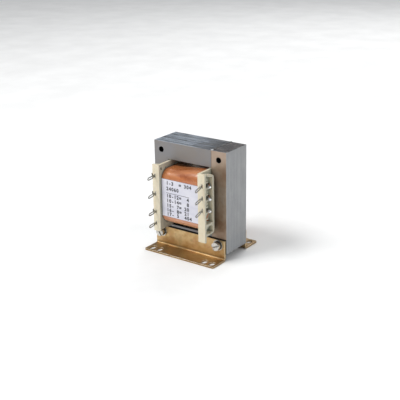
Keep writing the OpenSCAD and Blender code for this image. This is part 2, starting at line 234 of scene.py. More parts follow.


# materials

# window is half its height, hole its place each way from the middle and its radius,
# ends the heights over the middle between which the I is painted paler
core = {"plate": 0.51, "bundle": 4, "streak": 9.0, "smear": 4.0, "patch": 17.0, "edge": 0.35,
        "joint": 21.0, "jointLine": 0.16, "window": 28.0, "hole": (28.0, 35.0, 2.6),
        "ends": (46.0, 20.0), "annealed": (-10, 30), "footLine": 0.8, "gapWidth": 0.14,
        "topLight": "#AAB6C4", "topDark": "#141C26", "sideLight": "#B8B9BA", "sideDark": "#9C9FA2",
        "gap": "#2B2D30", "worn": "#C3C7CB", "shade": "#0B0B0D",
        "eFace": ("#858486", "#8E8985"), "iFace": ("#A49484", "#82664F"), "iEnds": "#B5A090"}


def electricalSteel(name, faceTones):
    # cold-rolled electrical steel with semi-matt faces, its top painted dark and its sides painted light as
    # painted reflection, and a stack edge where each punched plate takes the light a little differently
    material, tree, coords = startMaterial(name)
    x, y, z = add(tree, "ShaderNodeSeparateXYZ", {0: coords}, out=None)
    side = facing(tree)
    depth = total(tree, (y, 1 / (core["plate"] * mm)), (1.0, -coreLow.y / (core["plate"] * mm)))
    plate = add(tree, "ShaderNodeMath", {0: depth}, operation="FLOOR")
    within = add(tree, "ShaderNodeMath", {0: depth}, operation="FRACT")
    bundle = add(tree, "ShaderNodeMath", {0: plate, 1: core["bundle"]}, operation="SNAP")
    plateTone = add(tree, "ShaderNodeTexWhiteNoise", {"W": plate}, noise_dimensions="1D")
    bundleTone = add(tree, "ShaderNodeTexWhiteNoise", {"W": bundle}, noise_dimensions="1D")
    lane = add(tree, "ShaderNodeCombineXYZ", {"X": x, "Y": total(tree, (plate, 0.013)), "Z": z})
    streak = patches(tree, lane, core["streak"], low=0, high=1)
    smear = patches(tree, coords, core["smear"], (0.25, 1.4, 0.25), 0, 1)
    mixed = total(tree, (plateTone, 0.2), (bundleTone, 0.25), (streak, 0.55), (smear, 0.7))
    # painted shade: the top is painted darker towards the joint
    topShade = band(tree, x, *core["annealed"], 0.3)
    topFactor = add(tree, "ShaderNodeMapRange", {"Value": total(tree, (mixed, 1.0), (topShade, -1.0)),
                                                 "From Min": 0.62, "From Max": 0.92})
    sideFactor = add(tree, "ShaderNodeMapRange", {"Value": mixed, "From Min": 0.5, "From Max": 1.2})
    # painted reflection: top faces get their own dark tones, the X sides light ones
    isTop = add(tree, "ShaderNodeMath", {0: side["Z"], 1: 0.5}, operation="GREATER_THAN")
    isFace = add(tree, "ShaderNodeMath", {0: side["Y"], 1: 0.5}, operation="GREATER_THAN")
    patch = patches(tree, coords, core["patch"])
    # shadow and oil lie in the line between two plates
    off = add(tree, "ShaderNodeMath", {0: within, 1: 0.5, 2: core["gapWidth"]}, operation="COMPARE")
    gap = add(tree, "ShaderNodeMath", {0: 1.0, 1: off}, operation="SUBTRACT")
    rounded, worn = softEdges(tree, core["edge"], 0.35)
    besideJoint = add(tree, "ShaderNodeMath", {0: x, 1: core["joint"] * mm, 2: core["jointLine"] * mm},
                      operation="COMPARE")
    # shade inside the windows and the corner holes
    height = total(tree, (z, 1.0), (-1.0, coreMiddle.z))
    height = add(tree, "ShaderNodeMath", {0: height}, operation="ABSOLUTE")
    away = add(tree, "ShaderNodeMath", {0: x}, operation="ABSOLUTE")
    inHeight = band(tree, height, core["window"] + 0.3, core["window"] + 0.1)
    inWidth = band(tree, away, core["joint"] + 0.3, core["joint"] - 0.1)
    inWindow = add(tree, "ShaderNodeMath", {0: inHeight, 1: inWidth}, operation="MULTIPLY")
    acrossX, upZ, wide = core["hole"]
    fromHole = add(tree, "ShaderNodeCombineXYZ", {"X": total(tree, (away, 1.0), (-1.0, acrossX * mm)),
                                                  "Z": total(tree, (height, 1.0), (-1.0, upZ * mm))})
    fromHole = add(tree, "ShaderNodeVectorMath", {0: fromHole}, out="Value", operation="LENGTH")
    inHole = band(tree, fromHole, wide + 0.4, wide)
    # painted reflection and shadow: the I face is painted darker in its middle and paler towards both ends; a
    # painted shadow line lies above each foot
    paler = 0.75 if faceTones == core["iFace"] else 0.0
    litTowardsEnd = band(tree, height, core["ends"][1], core["ends"][0], paler)
    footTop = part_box("front_foot")[1].z / mm
    shadowOverFoot = band(tree, z, footTop + core["footLine"], footTop + core["footLine"] / 2, 0.9)
    # painted reflection: the light side tones and the dark top tones stand for what the steel mirrors
    edge = coats(tree, core["sideDark"], (sideFactor, core["sideLight"]))
    top = coats(tree, core["topDark"], (topFactor, core["topLight"]))
    face = coats(tree, faceTones[0], (patch, faceTones[1]), (litTowardsEnd, core["iEnds"]),
                 (shadowOverFoot, core["shade"]))
    colour = coats(tree, edge, (isTop, top), (total(tree, (gap, 0.3)), core["gap"]),
                   (total(tree, (inWindow, 0.97)), core["shade"]), (inHole, core["shade"]), (isFace, face),
                   (worn, core["worn"]), (total(tree, (besideJoint, 0.8)), core["shade"]))
    onEdge = add(tree, "ShaderNodeMath", {0: 1.0, 1: isFace}, operation="SUBTRACT")
    groove = add(tree, "ShaderNodeMath", {0: gap, 1: onEdge}, operation="MULTIPLY")
    rolling = patches(tree, coords, 0.5, (0.06, 1, 1), 0, 1, detail=2)
    rough = patches(tree, coords, core["patch"], least=0.36, most=0.52)
    endMaterial(tree, {"Base Color": colour, "Metallic": 0.7, "Roughness": rough},
                total(tree, (groove, -1.0), (rolling, 0.25)), 0.05, 0.6, rounded)
    return material


weld = {"bead": "#2B2E33", "straw": "#4E4638", "spark": "#8C9198", "crater": "#E4E6E8",
        "craterEnd": (2.2, 1.4)}


def weldMetal():
    # tig weld on steel: dark rippled bead, straw heat tint, painted glints, and a painted glint on the crater
    # at the front end
    material, tree, coords = startMaterial("tigWeldBead")
    tint = patches(tree, coords, 2.2)
    # painted glints: light spots on the dark bead
    spark = patches(tree, coords, 0.8, low=0.52, high=0.66)
    y = add(tree, "ShaderNodeSeparateXYZ", {0: coords}, out="Y")
    front = coreLow.y / mm
    # painted glint: the crater at the front end is painted near white
    crater = band(tree, y, *(front + end for end in weld["craterEnd"]))
    colour = coats(tree, weld["bead"], (tint, weld["straw"]), (spark, weld["spark"]),
                   (crater, weld["crater"]))
    rough = patches(tree, coords, 2.2, least=0.28, most=0.5)
    endMaterial(tree, {"Base Color": colour, "Metallic": 0.85, "Roughness": rough}, spark, 0.05)
    return material


moulding = {"body": "#E3D9C2", "deep": "#D6CAAE", "thin": "#F3ECDA", "fibre": "#F4F1E6",
            "side": "#A6A698", "hollow": "#6F7C72", "flow": 14.0, "grain": 0.35, "edge": 0.3,
            "hollowDepth": 5.0}


def glassFilledPolyamide():
    # natural glass-filled polyamide, injection moulded: ivory and satin, with faint flow marks,
    # paler at thin edges, with painted shade on the sides and in the hollows; the fibre grain is drawn coarse
    material, tree, coords = startMaterial("ivoryGlassFilledPolyamide")
    flow = patches(tree, coords, moulding["flow"], (1, 0.5, 0.35), 0.3, 0.7, detail=4)
    fibre = patches(tree, coords, moulding["grain"], (1, 1, 0.3), 0.55, 0.75, 0, 0.35)
    # painted shade: faces that look along X are tinted grey-green
    shadedSide = add(tree, "ShaderNodeMapRange", {"Value": facing(tree)["X"], "From Min": 0.5,
                                                "From Max": 0.9, "To Max": 0.75})
    rounded, worn = softEdges(tree, moulding["edge"], 0.35)
    # painted shade: hollows that little light gets into are darkened
    hollow = hollows(tree, moulding["hollowDepth"], 0.75, 0.3, 0.75)
    colour = coats(tree, moulding["body"], (flow, moulding["deep"]), (fibre, moulding["fibre"]),
                   (shadedSide, moulding["side"]), (hollow, moulding["hollow"]), (worn, moulding["thin"]))
    rough = patches(tree, coords, moulding["flow"], least=0.4, most=0.52)
    endMaterial(tree, {"Base Color": colour, "Roughness": rough, "IOR": 1.53, "Subsurface Weight": 0.12,
                       "Subsurface Radius": (0.0012, 0.0009, 0.0006), "Subsurface Scale": 1.0},
                fibre, 0.03, 0.4, rounded)
    return material


winding = {"copper": ("#6E3016", "#A8522A", "#C07A48"), "burnt": ("#0E0A08", "#2A1C14", "#4A3A2C"),
           "turn": 0.55, "lead": 0.5}


def enamelledCopper(name, across, tones):
    # enamelled copper wire laid in even turns: varnish over metal, red-brown, or near black as painted shade
    # round the joints
    material, tree, coords = startMaterial(name)
    turns = add(tree, "ShaderNodeTexWave", {"Vector": coords, "Scale": 1 / (20 * across * mm),
                                            "Distortion": 0.2}, out=1, bands_direction="X")
    varnish = patches(tree, coords, 3.0, most=0.4)
    colour = coats(tree, tones[0], (turns, tones[1]), (varnish, tones[2]))
    rough = patches(tree, coords, 3.0, least=0.22, most=0.4)
    endMaterial(tree, {"Base Color": colour, "Metallic": 0.9, "Roughness": rough, "Coat Weight": 0.6,
                       "Coat Roughness": 0.15}, turns, 0.15, 0.8)
    return material


barrier = {"body": "#C9A24C", "crease": "#DDBB6A", "size": 2.5}


def polyesterFilm():
    # clear yellow polyester film between the windings, glossy with soft creases
    material, tree, coords = startMaterial("yellowPolyesterFilm")
    crease = patches(tree, coords, barrier["size"], (1, 0.3, 0.3))
    colour = coats(tree, barrier["body"], (crease, barrier["crease"]))
    rough = patches(tree, coords, barrier["size"], least=0.18, most=0.35)
    endMaterial(tree, {"Base Color": colour, "Roughness": rough}, crease, 0.08)
    return material


tape = {"body": "#BC7040", "deep": "#965028", "pale": "#CC8A56", "rim": "#5A2812", "low": "#E0A684",
        "crease": 3.2, "broad": 11.0, "wire": 0.9, "rimWidth": (0.9, 0.2), "under": (-12, -20)}


def polyesterTape():
    # orange-brown polyester tape pulled tight over the winding: glossy, with creases along the coil's axis,
    # the turns below showing as faint ridges, with painted shade at both rims against the flanges and painted
    # light underneath from the floor
    material, tree, coords = startMaterial("orangePolyesterTape")
    place = add(tree, "ShaderNodeSeparateXYZ", {0: coords}, out=None)
    away = add(tree, "ShaderNodeMath", {0: place["X"]}, operation="ABSOLUTE")
    crease = patches(tree, coords, tape["crease"], (0.22, 1, 1), 0.3, 0.7, detail=4)
    broad = patches(tree, coords, tape["broad"], (0.5, 1, 1), 0.45, 0.75, 0, 0.7)
    edge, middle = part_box("outer_tape")[1].x / mm, coreMiddle.z / mm
    # painted shade: the tape is darkened at both rims, against the flanges
    rim = band(tree, away, *(edge - width for width in tape["rimWidth"]), 0.7)
    # painted light: the lower tape is painted paler, as light thrown up from the floor
    below = band(tree, place["Z"], *(middle + height for height in tape["under"]), 0.8)
    colour = coats(tree, tape["deep"], (crease, tape["body"]), (broad, tape["pale"]), (below, tape["low"]),
                   (rim, tape["rim"]))
    ridge = add(tree, "ShaderNodeTexWave", {"Vector": coords, "Scale": 1 / (20 * tape["wire"] * mm),
                                            "Distortion": 0.6, "Detail": 1}, out=1, bands_direction="X")
    rough = patches(tree, coords, tape["broad"], least=0.2, most=0.34)
    uneven = total(tree, (crease, 1.0), (ridge, 0.12), (broad, 1.6))
    endMaterial(tree, {"Base Color": colour, "Roughness": rough, "IOR": 1.55, "Coat Weight": 0.35,
                       "Coat Roughness": 0.12}, uneven, 0.12, 0.6)
    return material


label = {"paper": "#DDDCE4", "shade": "#CBCBD8", "speck": "#B2B2C2", "rim": "#5C4A48", "ink": "#141418",
         "skip": "#4A4952", "edge": 0.45, "uneven": 6.0, "grain": 0.5, "ribbon": 0.45}


def labelPaper():
    # white print film label: cool white, semi-matt, slightly uneven over the tape, with a painted shadow
    # along its cut edge
    material, tree, coords = startMaterial("whiteLabelStock")
    uneven = patches(tree, coords, label["uneven"], (0.4, 1, 1), 0.3, 0.75)
    speck = patches(tree, coords, label["grain"], low=0.6, high=0.8, most=0.25)
    # painted shadow: this edge mask darkens the label's rim
    worn = softEdges(tree, label["edge"], 0.8)[1]
    colour = coats(tree, label["paper"], (uneven, label["shade"]), (speck, label["speck"]),
                   (worn, label["rim"]))
    rough = patches(tree, coords, label["uneven"], least=0.42, most=0.55)
    endMaterial(tree, {"Base Color": colour, "Roughness": rough}, uneven, 0.12)
    return material


def printInk():
    # black ribbon ink: matt, thinner where the ribbon skipped
    material, tree, coords = startMaterial("blackRibbonInk")
    skip = patches(tree, coords, label["ribbon"], low=0.55, high=0.75, most=0.6)
    rough = patches(tree, coords, label["ribbon"], least=0.5, most=0.65)
    colour = coats(tree, label["ink"], (skip, label["skip"]))
    endMaterial(tree, {"Base Color": colour, "Roughness": rough}, skip, 0.01)
    return material


foot = {"gold": "#BE9B68", "straw": "#D8BC8C", "rose": "#C0946E", "olive": "#8F8052", "brown": "#6A4C26",
        "edge": "#E8E0CC", "shade": "#15120D", "film": 7.0, "drift": 4.0, "bend": (5.0, 1.6), "corner": 0.5,
        "cut": (0.25, 0.1)}


def yellowPassivatedZinc():
    # zinc plate with yellow chromate: gold, with drifting rose and olive films, browner in the bend
    # where the bath pooled, bright along worn edges, with a painted shadow along the upper cut edge
    material, tree, coords = startMaterial("yellowPassivatedZinc")
    z = add(tree, "ShaderNodeSeparateXYZ", {0: coords}, out="Z")
    film = patches(tree, coords, foot["film"], low=0.35, high=0.6, detail=4)
    olive = patches(tree, coords, foot["film"], low=0.56, high=0.7, most=0.3, detail=4)
    rose = patches(tree, coords, foot["drift"], (0.5, 1, 1), 0.52, 0.68, 0, 0.6)
    pooled = band(tree, z, *foot["bend"], 0.6)
    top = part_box("front_foot")[1].z / mm
    # painted shadow: the upper cut edge is darkened as a shadow gap against the core
    topEdgeShadow = band(tree, z, *(top - under for under in foot["cut"]), 0.9)
    rounded, worn = softEdges(tree, foot["corner"], 0.95)
    colour = coats(tree, foot["gold"], (film, foot["straw"]), (rose, foot["rose"]), (olive, foot["olive"]),
                   (pooled, foot["brown"]), (worn, foot["edge"]), (topEdgeShadow, foot["shade"]))
    rolled = patches(tree, coords, 0.4, (0.05, 1, 1), 0, 1, detail=2)
    rough = patches(tree, coords, foot["drift"], least=0.28, most=0.44)
    endMaterial(tree, {"Base Color": colour, "Metallic": 0.85, "Roughness": rough},
                rolled, 0.02, 0.4, rounded)
    return material


zinc = {"body": "#DDDBD6", "cloud": "#BDBAB2", "worn": "#F6F5F2", "grime": "#1C1A17", "size": 1.5,
        "deep": 1.2}


def brightZinc():
    # bright zinc-plated screws, nuts and washers: silvery, with fine turning marks and painted shade in the
    # corners and slots
    material, tree, coords = startMaterial("brightZincPlate")
    cloud = patches(tree, coords, zinc["size"])
    rounded, worn = softEdges(tree, 0.2, 0.6)
    # painted shade: corners and slots are darkened where little light gets in
    grime = hollows(tree, zinc["deep"], 0.8, 0.4, 0.9)
    colour = coats(tree, zinc["body"], (cloud, zinc["cloud"]), (worn, zinc["worn"]), (grime, zinc["grime"]))
    turned = patches(tree, coords, 0.3, (1, 0.2, 1), 0, 1, detail=2)
    rough = patches(tree, coords, zinc["size"], least=0.18, most=0.32)
    endMaterial(tree, {"Base Color": colour, "Metallic": 1.0, "Roughness": rough}, turned, 0.02, 0.4, rounded)
    return material


phosphate = {"body": "#33312F", "grain": "#57524C", "worn": "#8C8780", "size": 0.5}


def springSteel():
    # hardened spring washer, phosphated nearly black with an oily sheen
    material, tree, coords = startMaterial("phosphatedSpringSteel")
    grain = patches(tree, coords, phosphate["size"], low=0, high=1)
    rounded, worn = softEdges(tree, 0.15, 0.4)
    colour = coats(tree, phosphate["body"], (grain, phosphate["grain"]), (worn, phosphate["worn"]))
    rough = patches(tree, coords, phosphate["size"], least=0.35, most=0.5)
    endMaterial(tree, {"Base Color": colour, "Metallic": 0.8, "Roughness": rough}, grain, 0.02, 0.5, rounded)
    return material


tin = {"body": "#A8A8A4", "dull": "#74746F", "brass": "#C9B274", "size": 1.3}


def tinnedBrass():
    # stamped brass tag, tin plated: soft grey, dull in patches, a trace of brass on the cut edge
    material, tree, coords = startMaterial("tinnedBrassTag")
    dull = patches(tree, coords, tin["size"])
    rounded, worn = softEdges(tree, 0.12, 0.35)
    colour = coats(tree, tin["body"], (dull, tin["dull"]), (worn, tin["brass"]))
    rough = patches(tree, coords, tin["size"], least=0.28, most=0.46)
    endMaterial(tree, {"Base Color": colour, "Metallic": 0.95, "Roughness": rough}, dull, 0.03, 0.5, rounded)
    return material


solder = {"body": "#FBFBFA", "wave": "#E4E6E8", "flux": "#9A7A4A", "waveSize": 1.1, "fluxSize": 1.7}


def tinSolder():
    # hand-soldered joint: bright tin-lead, wavy, with amber flux left in the hollows
    material, tree, coords = startMaterial("brightTinSolder")
    wave = patches(tree, coords, solder["waveSize"], low=0.3, high=0.7, detail=2)
    flux = patches(tree, coords, solder["fluxSize"], low=0.6, high=0.72, most=0.7)
    colour = coats(tree, solder["body"], (wave, solder["wave"]), (flux, solder["flux"]))
    rough = patches(tree, coords, solder["fluxSize"], least=0.14, most=0.3)
    endMaterial(tree, {"Base Color": colour, "Metallic": 0.6, "Roughness": rough}, wave, 0.3, 0.8)
    return material


def paint(names, material):
    # puts a material on CAD nodes, in place of their plain one
    for name in names:
        nodes[name].data.materials.clear()
        nodes[name].data.materials.append(material)


def named(*starts):
    # the CAD nodes whose names start so, in order
    return [n for n in sorted(nodes) if n.startswith(starts)]


leadCopper = enamelledCopper("enamelledCopperLead", winding["lead"], winding["copper"])
# painted shade: the wraps round each joint are coloured near black
shadedWrapCopper = enamelledCopper("charredCopperLead", winding["lead"], winding["burnt"])
zincPlate = brightZinc()
solderMetal = tinSolder()
weldSkin = weldMetal()
tapeFilm = polyesterTape()
paint(["e_stack"], electricalSteel("bluedElectricalSteel", core["eFace"]))
paint(["i_stack"], electricalSteel("brownedElectricalSteel", core["iFace"]))
paint(named("top_weld", "bottom_weld"), weldSkin)
polyamide = glassFilledPolyamide()
paint(["bobbin"], polyamide)
paint(["inner_winding", "outer_winding"],
      enamelledCopper("enamelledCopperWinding", winding["turn"], winding["copper"]))
paint(["winding_barrier"], polyesterFilm())
paint(["outer_tape"], tapeFilm)
paint(["coil_label"], labelPaper())
paint(["front_foot", "rear_foot"], yellowPassivatedZinc())
paint(named("clamp_", "front_washers", "rear_washers"), zincPlate)
paint(["spring_washers"], springSteel())
tagMetal = tinnedBrass()
paint(named("left_tag", "right_tag"), tagMetal)
paint(named("left_lead", "right_lead"), leadCopper)
paint(named("left_solder", "right_solder"), solderMetal)
print("materials on", sum(len(o.data.materials) for o in nodes.values()), "CAD nodes")


# pieces that are added, or that stand for a CAD node

def keepPiece(name, mesh, material, slot, *replaced):
    # makes a mesh a finished piece on the body, maybe in place of CAD nodes
    mesh.name = name
    mesh.materials.clear()
    mesh.materials.append(material)
    piece = bpy.data.objects.new(name, mesh)
    bpy.context.scene.collection.objects.link(piece)
    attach(piece, "root")
    if replaced:
        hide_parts(*replaced)


def pieceName(node, kind):
    # such as leftLeadWire1 for left_lead_1
    side, _, number = node.split("_")
    return side + kind + number


def tagPlace(tag):
    # the middle of a tag's root, at the front of its strip
    low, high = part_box(tag)
    return Vector(((low.x + high.x) / 2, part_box("bobbin")[0].y, high.z - tags["root"][2] * mm))


def startGrowth(name, sizes):
    # a geometry tree with a metal and each size that has a capital as inputs; a value gives the kind
    tree = bpy.data.node_groups.new(name, "GeometryNodeTree")
    tree.interface.new_socket("Geometry", in_out="INPUT", socket_type="NodeSocketGeometry")
    for size, value in {**{k: v for k, v in sizes.items() if k[0].isupper()}, "Metal": None}.items():
        kind = {int: "NodeSocketInt", float: "NodeSocketFloat", Vector: "NodeSocketVector"}.get(type(value))
        socket = tree.interface.new_socket(size, in_out="INPUT", socket_type=kind or "NodeSocketMaterial")
        if kind:
            socket.default_value = value
    tree.interface.new_socket("Geometry", in_out="OUTPUT", socket_type="NodeSocketGeometry")
    return tree, add(tree, "NodeGroupInput", out=None)


def endGrowth(tree, geometry, material):
    real = add(tree, "GeometryNodeRealizeInstances", {"Geometry": geometry})
    coated = add(tree, "GeometryNodeSetMaterial", {"Geometry": real, "Material": material})
    add(tree, "NodeGroupOutput", {"Geometry": coated}, out=None)


def grow(tree, sizes, seeds=(), edges=()):
    # runs a geometry tree over the seed points and edges, and hands back a plain mesh
    ground = bpy.data.meshes.new("seeds")
    ground.from_pydata([tuple(p) for p in seeds], list(edges), [])
    holder = bpy.data.objects.new("seeds", ground)
    modifier = holder.modifiers.new("growth", "NODES")
    modifier.node_group = tree
    for item in tree.interface.items_tree:
        if item.in_out == "INPUT" and item.name in sizes:
            modifier[item.identifier] = sizes[item.name]
    return plainMesh(holder)


# weld beads over the joint: overlapping ripples, from the back of the stack to the front
bead = {"Ripples": 26, "Ripple Size": Vector((1.2, 1.15, 0.44)) * mm, "Lean": 0.35, "Waver": 0.09 * mm,
        "Seed": 4, "sunk": 0.08}


def weldTree():
    sizes = {**bead, "Start": Vector((0, 0, 0)), "Step": Vector((0, mm, 0))}
    tree, given = startGrowth("weldRipples", sizes)
    line = add(tree, "GeometryNodeMeshLine", {"Count": given["Ripples"], "Start Location": given["Start"],
                                              "Offset": given["Step"]})
    stray = add(tree, "FunctionNodeRandomValue", {"Min": (-1, -1, 0), "Max": (1, 1, 0),
                                                  "Seed": given["Seed"]}, data_type="FLOAT_VECTOR")
    stray = add(tree, "ShaderNodeVectorMath", {0: stray, "Scale": given["Waver"]}, operation="SCALE")
    line = add(tree, "GeometryNodeSetPosition", {"Geometry": line, "Offset": stray})
    ripple = add(tree, "GeometryNodeMeshUVSphere", {"Segments": 20, "Rings": 10, "Radius": 1.0})
    ripple = add(tree, "GeometryNodeTransform", {"Geometry": ripple, "Scale": given["Ripple Size"]})
    lean = add(tree, "ShaderNodeCombineXYZ", {"X": given["Lean"]})
    grown = add(tree, "GeometryNodeInstanceOnPoints", {"Points": line, "Instance": ripple, "Rotation": lean})
    endGrowth(tree, grown, given["Metal"])
    return tree


def layWelds():
    tree = weldTree()
    for name, piece in (("top_weld", "topWeldBead"), ("bottom_weld", "bottomWeldBead")):
        low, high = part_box(name)
        side = 1 if name == "top_weld" else -1
        reach = bead["Ripple Size"].y + bead["Waver"]
        seat = (low.z if side > 0 else high.z) - side * bead["sunk"] * mm
        start = Vector(((low.x + high.x) / 2, high.y - reach, seat))
        step = (low.y - high.y + 2 * reach) / (bead["Ripples"] - 1)
        mesh = grow(tree, {**bead, "Start": start, "Step": Vector((0, step, 0)), "Lean": side * bead["Lean"],
                           "Metal": weldSkin})
        keepPiece(piece, mesh, weldSkin, "weld", name)


layWelds()
print("weld beads")


# ridges of the thread that shows past each nut
thread = {"Turns": 2.4, "Pitch": 0.7 * mm, "Crest": 2.0 * mm, "Ridge": 0.24 * mm}


def threadTree():
    tree, given = startGrowth("threadRidges", thread)
    rise = add(tree, "ShaderNodeMath", {0: given["Turns"], 1: given["Pitch"]}, operation="MULTIPLY")
    path = add(tree, "GeometryNodeCurveSpiral", {"Resolution": 28, "Rotations": given["Turns"],
                                                 "Start Radius": given["Crest"], "End Radius": given["Crest"],
                                                 "Height": rise})
    section = add(tree, "GeometryNodeCurvePrimitiveCircle", {"Resolution": 6, "Radius": given["Ridge"]})
    ridge = add(tree, "GeometryNodeCurveToMesh", {"Curve": path, "Profile Curve": section, "Fill Caps": True})
    turn = add(tree, "ShaderNodeCombineXYZ", {"X": math.radians(90)})
    grown = add(tree, "GeometryNodeInstanceOnPoints", {"Points": given["Geometry"], "Instance": ridge,
                                                       "Rotation": turn})
    endGrowth(tree, grown, given["Metal"])
    return tree


def cutThreads():
    low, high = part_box("clamp_screws")
    head = (high.z - low.z) / 2
    ends = [(x, high.y - 0.12 * mm, (low.z + high.z) / 2) for x in (low.x + head, high.x - head)]
    mesh = grow(threadTree(), {**thread, "Metal": zincPlate}, ends)
    keepPiece("screwThreads", mesh, zincPlate, "fastener")


cutThreads()
print("screw threads")


# the bobbin as it was moulded: strips with a sloping top, a raised bottom and rounded rear corners;
# outlines are in Y and Z from the core's front face and its middle height
former = {"outer": 20.85, "edge": 25.45, "flange": 18.85, "slabBack": -13.6, "back": -2.75, "top": 27.0,
          "rearTop": 24.65, "bottom": -24.2, "flangeBottom": -27.85, "corner": 3.0, "wall": 1.6,
          "exit": (-13.2, -11.6, 22.3, 24.6), "notch": (-12.7, -10.9), "drain": (-9.0, -7.9), "bend": 6,
          "firstPlace": 22.5, "pitch": 5.0, "filler": (-15.34, -14.9, 1.9, 22.6, 23.5), "beyond": (-1.5, 31),
          "spare": ((-1, (1, 3, 4, 6, 7, 9)), (1, (1, 3, 5, 7, 8, 9, 10)))}


def prism(shape, outline, start, end, side):
    # adds a plate to a mesh: an outline in Y and Z between two places along X, on either side
    ends = [shape.verts.new((side * x * mm, coreLow.y + y * mm, coreMiddle.z + z * mm))
            for x in (start, end) for y, z in outline]
    count = len(outline)
    shape.faces.new(ends[:count])
    shape.faces.new(ends[count:])
    for k in range(count):
        j = (k + 1) % count
        shape.faces.new((ends[k], ends[j], ends[count + j], ends[count + k]))


def block(y0, y1, z0, z1):
    return [(y0, z0), (y1, z0), (y1, z1), (y0, z1)]


def cornerArc(y, z, radius, turn):
    # points of a rear corner, from the level edge to the upright one
    angles = [math.pi / 2 * k / former["bend"] for k in range(former["bend"] + 1)]
    return [(y + radius * math.sin(angle), z + turn * radius * math.cos(angle)) for angle in angles]


def shaped(mesh, plates, operation, sides=(-1, 1)):
    # joins plates to a mesh or cuts them out of it
    tool = bpy.data.meshes.new("plates")
    shape = bmesh.new()
    for side in sides:
        for outline, start, end in plates:
            prism(shape, outline, start, end, side)
    bmesh.ops.recalc_face_normals(shape, faces=shape.faces)
    writeShape(shape, tool)
    work, other = (bpy.data.objects.new("work", m) for m in (mesh, tool))
    bpy.context.scene.collection.objects.link(other)
    modifier = work.modifiers.new("plates", "BOOLEAN")
    modifier.object = other
    modifier.operation = operation
    modifier.solver = "EXACT"
    modifier.use_self = True
    result = plainMesh(work)
    bpy.data.objects.remove(other)
    return result


def mouldBobbin():
    f = former
    wide = f["edge"] + 1
    arcY = f["back"] - f["corner"]
    clear, far = f["beyond"]  # cuts run out behind the strips and past their ends
    mesh = nodes["bobbin"].data.copy()
    whole = bmesh.new()
    whole.from_mesh(mesh)
    bmesh.ops.remove_doubles(whole, verts=whole.verts, dist=1e-6)
    writeShape(whole, mesh)
    lid = [(f["slabBack"] - 0.3, f["top"] - 0.1), (f["back"] - 0.4, f["top"] - 0.1),
           (f["back"] - 0.4, f["rearTop"] - f["wall"] - 0.4), (arcY, f["rearTop"] - f["wall"] - 0.4),
           (f["slabBack"] - 0.3, f["top"] - f["wall"] - 0.4)]
    base = block(f["slabBack"] - 0.3, f["back"] - 0.4, f["bottom"] - 0.2, f["bottom"] + f["wall"])
    mesh = shaped(mesh, [(lid, f["outer"] + 0.2, f["edge"]), (base, f["outer"] + 0.2, f["edge"])], "UNION")
    below = [(f["slabBack"], f["bottom"])] + cornerArc(arcY, f["bottom"] + f["corner"], f["corner"], -1)
    below += [(clear, f["bottom"] + f["corner"]), (clear, -far), (f["slabBack"], -far)]
    above = [(f["slabBack"] - 0.4, f["top"])] + cornerArc(arcY, f["rearTop"] - f["corner"], f["corner"], 1)
    above += [(clear, f["rearTop"] - f["corner"]), (clear, far), (f["slabBack"] - 0.4, far)]
    y0, y1, z0, z1 = f["exit"]
    cuts = [(below, f["outer"], wide), (above, f["outer"], wide),
            (block(f["slabBack"], clear, -far - 1, f["flangeBottom"]), f["flange"] - 1, f["outer"] + 0.1),
            (block(-20, 0.6, f["top"], far + 1), f["flange"] - 1, wide + 1),
            (block(y0, y1, z0, z1), f["flange"] - 1, f["outer"] + 1),
            (block(*f["notch"], f["top"] - 3.6, f["top"] + 1), f["edge"] - 2.6, wide + 2),
            (block(*f["drain"], f["bottom"] - 1, f["bottom"] + 2.6), f["edge"] - 3, wide + 3)]
    mesh = shaped(mesh, cuts, "DIFFERENCE")
    # the spare tag places are only faint marks in the front wall
    y0, y1, half, start, end = f["filler"]
    for side, places in f["spare"]:
        heights = [f["firstPlace"] - (place - 1) * f["pitch"] for place in places]
        fills = [(block(y0, y1, z - half, z + half), start, end) for z in heights]
        mesh = shaped(mesh, fills, "UNION", (side,))
    keepPiece("mouldedBobbin", mesh, polyamide, "bobbin_moulding", "bobbin")


mouldBobbin()
print("moulded bobbin")


# stamped tags: a long eye in front, a shouldered root in the wall, a bent tail in the channel;
# outlines run forwards and upwards from the root
tags = {"thick": 0.5, "root": (-1.8, 0.3, 1.7), "neck": 0.75, "eyeFrom": 2.6, "eyeHalf": 1.25, "reach": 9.2,
        "holeFrom": 3.7, "holeHalf": 0.6, "rim": 0.75, "droop": {"left": (4, 6, 4, 6), "right": (16, 14, 17)},
        "prong": {"left": (3.5, 3.3, 3.2, 0), "right": (0, 0, 0)},
        "tail": [(-1.8, 0.9), (-4.4, 0.8), (-8.5, -2.5), (-7.6, -3.7), (-4.4, -0.9), (-1.8, -0.9)]}


def roundEnd(along, half, steps=6):
    return [(along + half * math.sin(math.pi * k / steps), half * -math.cos(math.pi * k / steps))
            for k in range(steps + 1)]


def tagOutlines(droop, prong):
    # the outer outline, and the hole in the eye
    back, front, half = tags["root"]
    neck, eye, rim = tags["neck"], tags["eyeHalf"], tags["rim"]
    nose = [(front, -neck), (tags["eyeFrom"] - 0.7, -neck), (tags["eyeFrom"], -eye)]
    nose += roundEnd(tags["reach"] - eye, eye) + [(tags["eyeFrom"], eye), (tags["eyeFrom"] - 0.7, neck)]
    if prong:
        nose = nose[:-2] + [(tags["eyeFrom"] + 1.0, eye), (tags["eyeFrom"] + 1.2, prong),
                            (tags["eyeFrom"] + 0.4, prong + 0.2), (tags["eyeFrom"] - 0.9, neck)]
    nose.append((front, neck))
    hole = [(-u + tags["holeFrom"] * 2, v) for u, v in roundEnd(tags["holeFrom"], tags["holeHalf"])][::-1]
    hole += roundEnd(tags["reach"] - rim - tags["holeHalf"], tags["holeHalf"])
    cosine, sine = math.cos(math.radians(-droop)), math.sin(math.radians(-droop))
    turned = [[(front + (u - front) * cosine - v * sine, (u - front) * sine + v * cosine)
               for u, v in outline] for outline in (nose, hole)]
    root = tags["tail"] + [(back, -half), (front, -half)]
    return [root + turned[0] + [(front, half), (back, half)], turned[1]]


